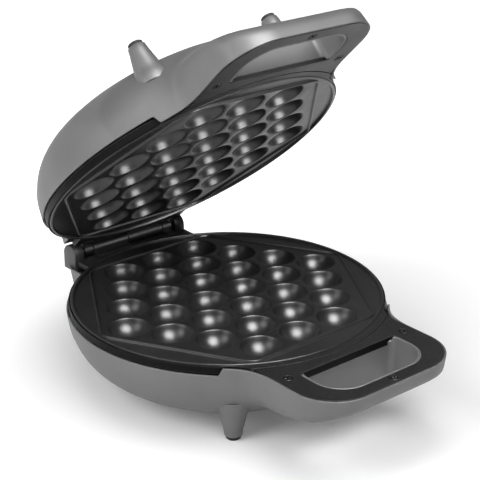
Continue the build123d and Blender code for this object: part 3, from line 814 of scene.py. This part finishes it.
for half, place, body in halves:
    inPlace = place @ millimetre
    apronPrism = prismMesh(apronPoints(apron), apron["low"], apron["top"])
    # The frame band and the grip hem get the darker trim copy, which is painted shade
    trims = [finishMesh(half + "FrameBand", bandMesh(band), materials["hem"], inPlace),
             finishMesh(half + "Apron", apronPrism, materials["frame"], inPlace)]
    if half == "lower":
        hemPrism = prismMesh(hemPoints(hem), hem["low"], hem["top"])
        trims.append(finishMesh("gripHem", hemPrism, materials["hem"], inPlace))
    for piece in trims:
        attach(piece, body)
    for number, spot in enumerate(trimScrew["places"]):
        at = inPlace @ Matrix.Translation(Vector((*spot, 0)))
        turned = latheMesh(trimScrew["profile"], trimScrew["sides"])
        head = finishMesh("%sTrimScrew%d" % (half, number), turned, materials["darkSteel"], at)
        firstTurn = trimScrew["turn"] + number
        for turn in (firstTurn, firstTurn + math.pi / 2):
            slot = prismMesh(slotPoints(trimScrew, spot, turn), trimScrew["slotLow"],
                             trimScrew["slotHigh"])
            cutBy(head, finishMesh("slotCutter", slot, materials["darkSteel"], inPlace))
        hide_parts(half + "_trim_screws")
        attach(head, body)
print("trim fitted")


foot = {"across": 46.5, "along": 62.0,
        "profile": ((3.6, -49.9), (4.7, -49.9), (5.05, -49.5), (5.6, -46.0), (7.6, -37.0),
                    (8.6, -33.0), (10.2, -30.5), (10.5, -26.0))}
cheek = {"inner": 35.2, "width": 7.3, "radius": 6.4, "low": -9.0, "round": 0.9, "arc": 32}
glandHole = {"spot": (0, 108.4, -12.0), "reach": 0.0072}


def cheekMesh(shape, side):
    # Sections across the cheek, each with how far it is drawn in and moved, for rounded edges
    mesh = bmesh.new()
    inner, outer = shape["inner"], shape["inner"] + shape["width"]
    pinY, pinZ = shellShape["pin"]
    loops = []
    for edge, inset, shift in ((inner, 1.0, 0.0), (inner, 0.3, 0.3), (inner, 0.0, 1.0),
                               (outer, 0.0, -1.0), (outer, 0.3, -0.3), (outer, 1.0, 0.0)):
        x = side * (edge + shift * shape["round"])
        radius = shape["radius"] - inset * shape["round"]
        points = [(x, pinY - radius, shape["low"])]
        for k in range(shape["arc"] + 1):
            angle = math.pi * k / shape["arc"]
            points.append((x, pinY - radius * math.cos(angle), pinZ + radius * math.sin(angle)))
        points.append((x, pinY + radius, shape["low"]))
        loops.append(addLoop(mesh, points))
    for first, second in zip(loops[:-1], loops[1:]):
        joinLoops(mesh, first, second)
    mesh.faces.new(loops[0])
    mesh.faces.new(loops[-1])
    return mesh


for half, place, body in halves:
    inPlace = place @ millimetre
    tailBack = shellShape["tailBack" if half == "lower" else "lidTail"]
    skin = shellMesh(shellShape, tailBack)
    shell = finishMesh(half + "ShellSkin", skin, materials["shell"], inPlace)
    opening = prismMesh(gripPoints(gripShape, gripShape["cutGrow"]), *gripShape["cut"])
    cutBy(shell, finishMesh("gripCutter", opening, materials["shell"], inPlace))
    if half == "lower":
        openAround(shell, inPlace @ Vector(glandHole["spot"]), glandHole["reach"])
    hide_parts(half + "_shell")
    tube = gripTube(gripShape, shellShape)
    pieces = [shell, finishMesh(half + "GripTube", tube, materials["shell"], inPlace)]
    for x in (foot["across"], -foot["across"]):
        for y in (foot["along"], -foot["along"]):
            spot = inPlace @ Matrix.Translation(Vector((x, y, 0)))
            name = "%sFoot%d" % (half, len(pieces) - 1)
            pieces.append(finishMesh(name, latheMesh(foot["profile"]), materials["shell"], spot))
    if half == "lower":
        for side, label in ((1, "Right"), (-1, "Left")):
            # Both cheeks are painted darker than the shell as shade: the right one in the black
            # trim, the left in the darker shell copy
            finish = materials["frame" if label == "Right" else "cheek"]
            pieces.append(finishMesh("cheek" + label, cheekMesh(cheek, side), finish, inPlace))
    for piece in pieces:
        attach(piece, body)
print("shells moulded")


# Floor, world and lights
floorShape = {"half": 6, "helpFrom": 0.10, "helpTo": 0.34, "helpNear": 0.10, "helpFar": 0.65}
side = floorShape["half"]
floorData = bpy.data.meshes.new("floor")
floorData.from_pydata([(-side, -side, 0), (side, -side, 0), (side, side, 0), (-side, side, 0)],
                      [], [(0, 1, 2, 3)])
floor = bpy.data.objects.new("floor", floorData)
bpy.context.scene.collection.objects.link(floor)
floor.location.z = cadBox[0].z
floorMaterial, floorTree, floorSurface = newMaterial("paperFloor")
floorSurface.inputs["Base Color"].default_value = (0.92, 0.92, 0.92, 1)
floorSurface.inputs["Roughness"].default_value = 0.35
floorSurface.inputs["Specular IOR Level"].default_value = 0.25
floorSurface.inputs["Emission Color"].default_value = (1, 1, 1, 1)
# The floor is helped to white away from the object, and only as the camera or a mirror sees it
lightPath = addNode(floorTree, "ShaderNodeLightPath")
looked = mathNode(floorTree, "ADD", lightPath.outputs["Is Camera Ray"],
                  lightPath.outputs["Is Glossy Ray"])
looked = mathNode(floorTree, "ADD", looked, lightPath.outputs["Is Transmission Ray"], clamp=True)
floorPlace = addNode(floorTree, "ShaderNodeTexCoord").outputs["Object"]
floorReach = addNode(floorTree, "ShaderNodeVectorMath", operation="LENGTH")
floorTree.links.new(floorPlace, floorReach.inputs[0])
helped = ranged(floorTree, floorReach.outputs["Value"], floorShape["helpFrom"],
                floorShape["helpTo"], floorShape["helpNear"], floorShape["helpFar"])
emission = mathNode(floorTree, "MULTIPLY", looked, helped)
floorTree.links.new(emission, floorSurface.inputs["Emission Strength"])
floorData.materials.append(floorMaterial)

world = bpy.data.worlds.new("studio")
bpy.context.scene.world = world
world.use_nodes = True
background = world.node_tree.nodes["Background"]
background.inputs["Color"].default_value = (1, 1, 1, 1)
background.inputs["Strength"].default_value = 0.13


# Lamps and camera stand at an azimuth and an elevation, and look back along that line
def wayOut(azimuth, elevation):
    a, e = math.radians(azimuth), math.radians(elevation)
    return Vector((math.sin(a) * math.cos(e), -math.cos(a) * math.cos(e), math.sin(e)))


def lookBack(thing, away):
    thing.rotation_mode = "QUATERNION"
    thing.rotation_quaternion = (-away).to_track_quat("-Z", "Y")


lampAim = Vector((0, 0, 0.05))
lamps = {
    "topFill": {"azimuth": 0, "elevation": 80, "distance": 1.8, "size": 1.5, "power": 20,
                "glossy": False},
    "frontFill": {"azimuth": -20, "elevation": 40, "distance": 1.6, "size": 1.0, "power": 4.5,
                  "glossy": False},
    "leftBox": {"azimuth": -95, "elevation": 38, "distance": 1.4, "size": 0.9, "power": 9.5},
    "keySheen": {"azimuth": -4, "elevation": 60, "distance": 1.3, "size": 1.0, "power": 66,
                 "diffuse": False},
    "lowSheen": {"azimuth": 4, "elevation": 13, "distance": 1.2, "size": 0.95, "power": 22,
                 "diffuse": False, "flat": 0.35},
    "barrelSheen": {"azimuth": 41, "elevation": 27, "distance": 1.3, "size": 0.5, "power": 9,
                    "diffuse": False},
}


def areaLight(name, azimuth, elevation, distance, size, power, diffuse=True, glossy=True, flat=1.0):
    light = bpy.data.lights.new(name, "AREA")
    light.shape = "ELLIPSE"
    light.size = size
    light.size_y = size * flat
    light.energy = power
    lamp = bpy.data.objects.new(name, light)
    bpy.context.scene.collection.objects.link(lamp)
    away = wayOut(azimuth, elevation)
    lamp.location = lampAim + away * distance
    lookBack(lamp, away)
    lamp.visible_camera = False
    lamp.visible_diffuse = diffuse
    lamp.visible_glossy = glossy
    return lamp


def lightOnly(lamp, pieces):
    lit = bpy.data.collections.new(lamp.name + "Pieces")
    for piece in pieces:
        lit.objects.link(piece)
    lamp.light_linking.receiver_collection = lit


placed = {name: areaLight(name, **settings) for name, settings in lamps.items()}
# barrelSheen is for the hinge barrels, lowSheen for the upper plate, keySheen for all the rest
upperCasting = bpy.data.objects["upperPlateCasting"]
others = [piece for piece in bpy.context.scene.objects
          if piece.type == "MESH" and piece != upperCasting]
lightOnly(placed["barrelSheen"], [nodes["lower_frame"], nodes["upper_frame"]])
lightOnly(placed["keySheen"], others)
lightOnly(placed["lowSheen"], [upperCasting])

# Camera, from the photograph's viewing angle
cameraView = {"azimuth": -39.76, "elevation": 22.876, "lens": 104.96, "sensor": 36,
              "place": Vector((-0.4677, -0.5739, 0.3447))}
cameraData = bpy.data.cameras.new("camera")
cameraData.lens = cameraView["lens"]
cameraData.sensor_width = cameraView["sensor"]
camera = bpy.data.objects.new("camera", cameraData)
bpy.context.scene.collection.objects.link(camera)
bpy.context.scene.camera = camera
lookBack(camera, wayOut(cameraView["azimuth"], cameraView["elevation"]))
camera.location = plateCentre + cameraView["place"]
bpy.context.scene.view_settings.view_transform = "Standard"
print("stage and camera set")
